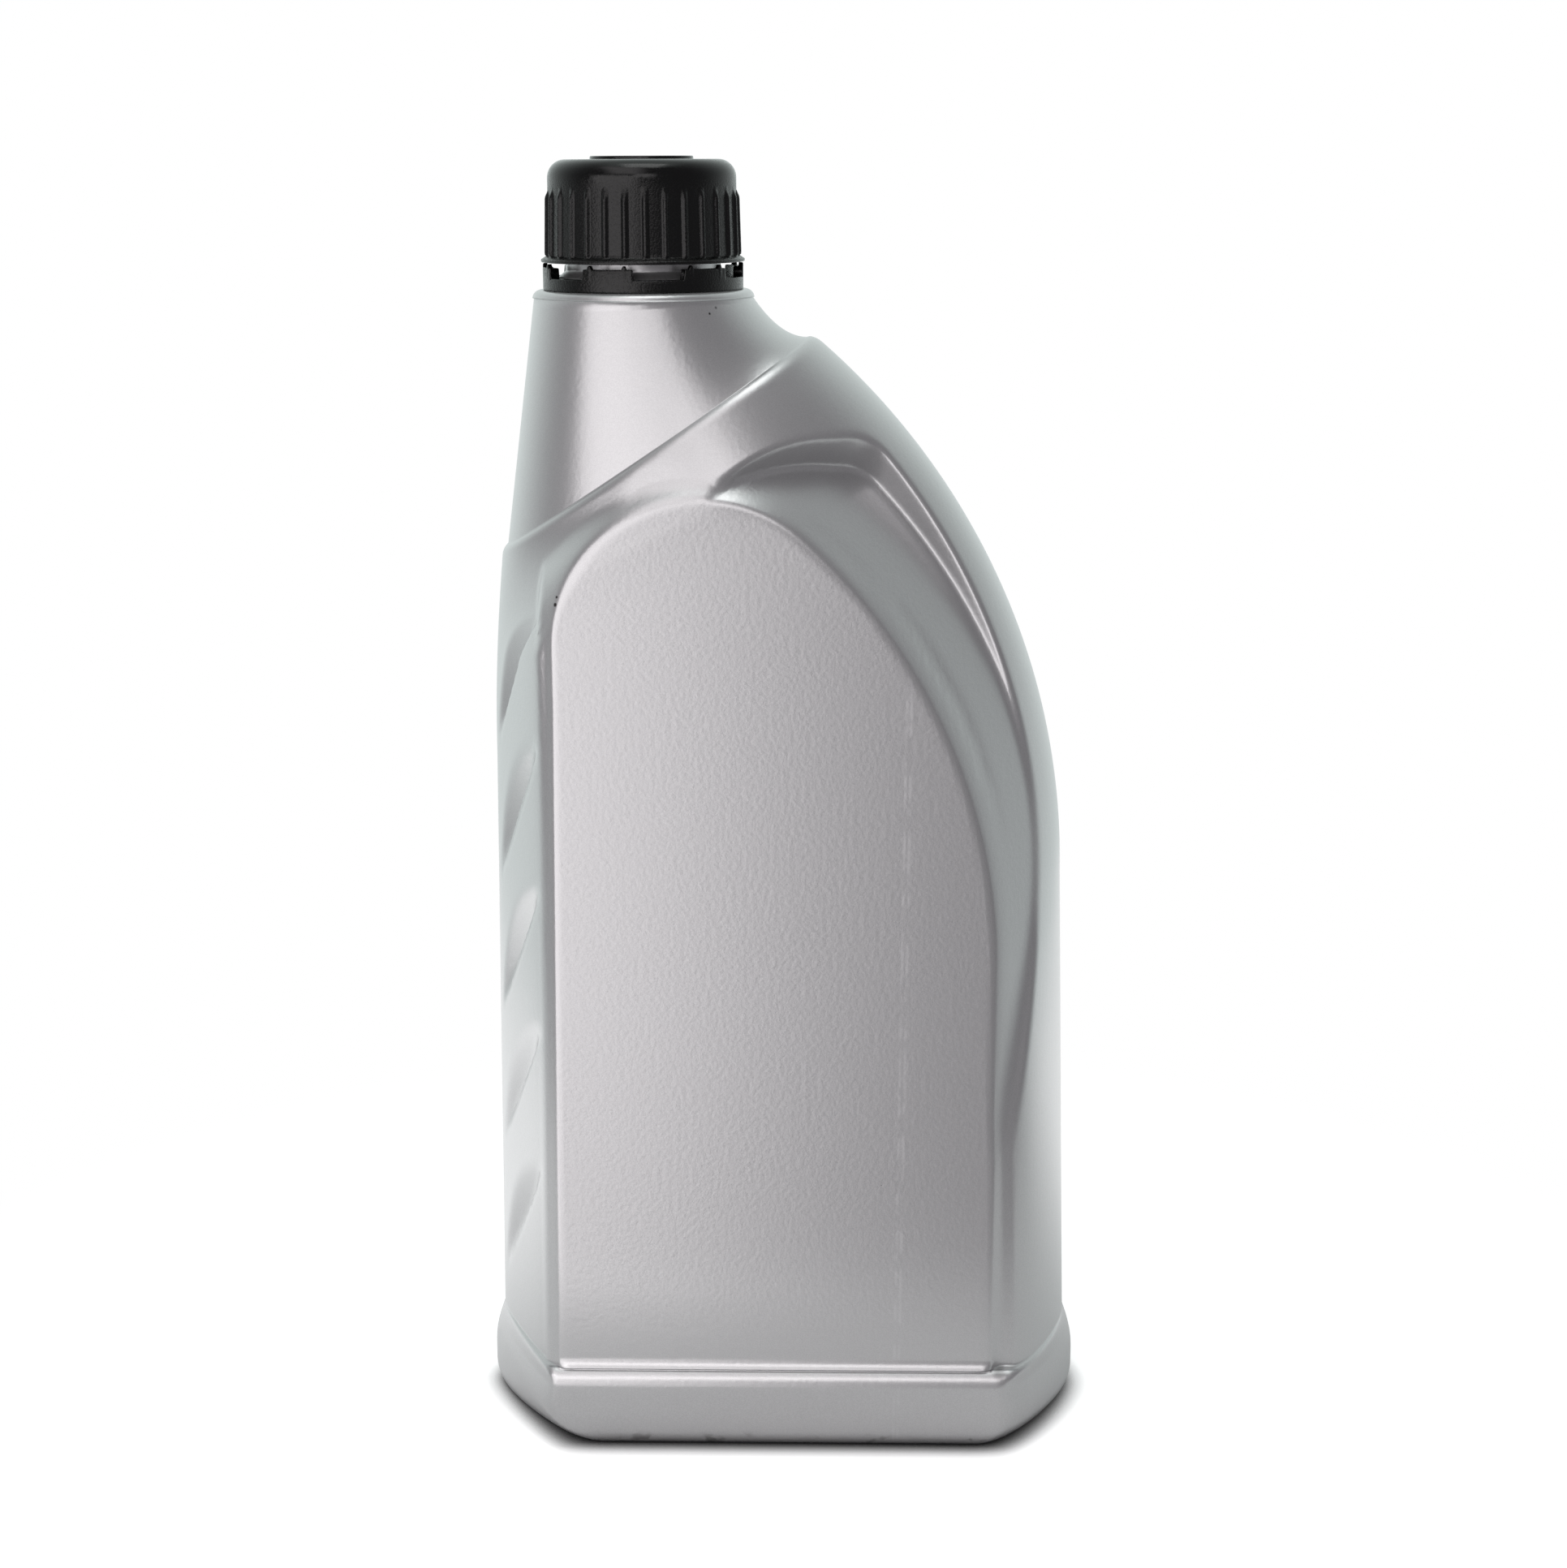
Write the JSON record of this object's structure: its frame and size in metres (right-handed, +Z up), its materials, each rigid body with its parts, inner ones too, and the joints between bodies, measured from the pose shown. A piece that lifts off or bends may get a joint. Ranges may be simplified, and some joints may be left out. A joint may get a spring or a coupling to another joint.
{
  "type": "motor oil bottle",
  "caption": "Blow-moulded plastic oil bottle with raised label panels, side grip recesses, finger notches, an offset neck, a ribbed screw cap and a tamper ring.",
  "frame": {"origin": "under the middle of the foot, on the surface it stands on", "axes": "+Z up, +X towards the grip spine, -Y towards the front label panel"},
  "size_m": [0.1204, 0.0662, 0.25],
  "materials": {
    "silver_plastic": "silver-pigmented, satin gloss",
    "black_plastic": "fine matte grain",
    "white_liner": "matte foam"
  },
  "bodies": {
    "bottle": {"bottle": "silver_plastic", "tamper_ring": "black_plastic"},
    "liner": {"seal_wad": "white_liner"},
    "cap": {"screw_cap": "black_plastic"}
  },
  "joints": [
    {"name": "cap_lift", "type": "slide", "parent": "bottle", "child": "liner", "axis": [0, 0, 1], "range_m": [0, 0.018]},
    {"name": "cap_turn", "type": "hinge", "parent": "liner", "child": "cap", "pos_m": [-0.0258, 0, 0.24], "axis": [0, 0, 1], "range_deg": [0, 1530]}
  ],
  "couplings": [
    {"joint": "cap_lift", "follows": "cap_turn", "m_per_rad": 0.00066845}
  ]
}
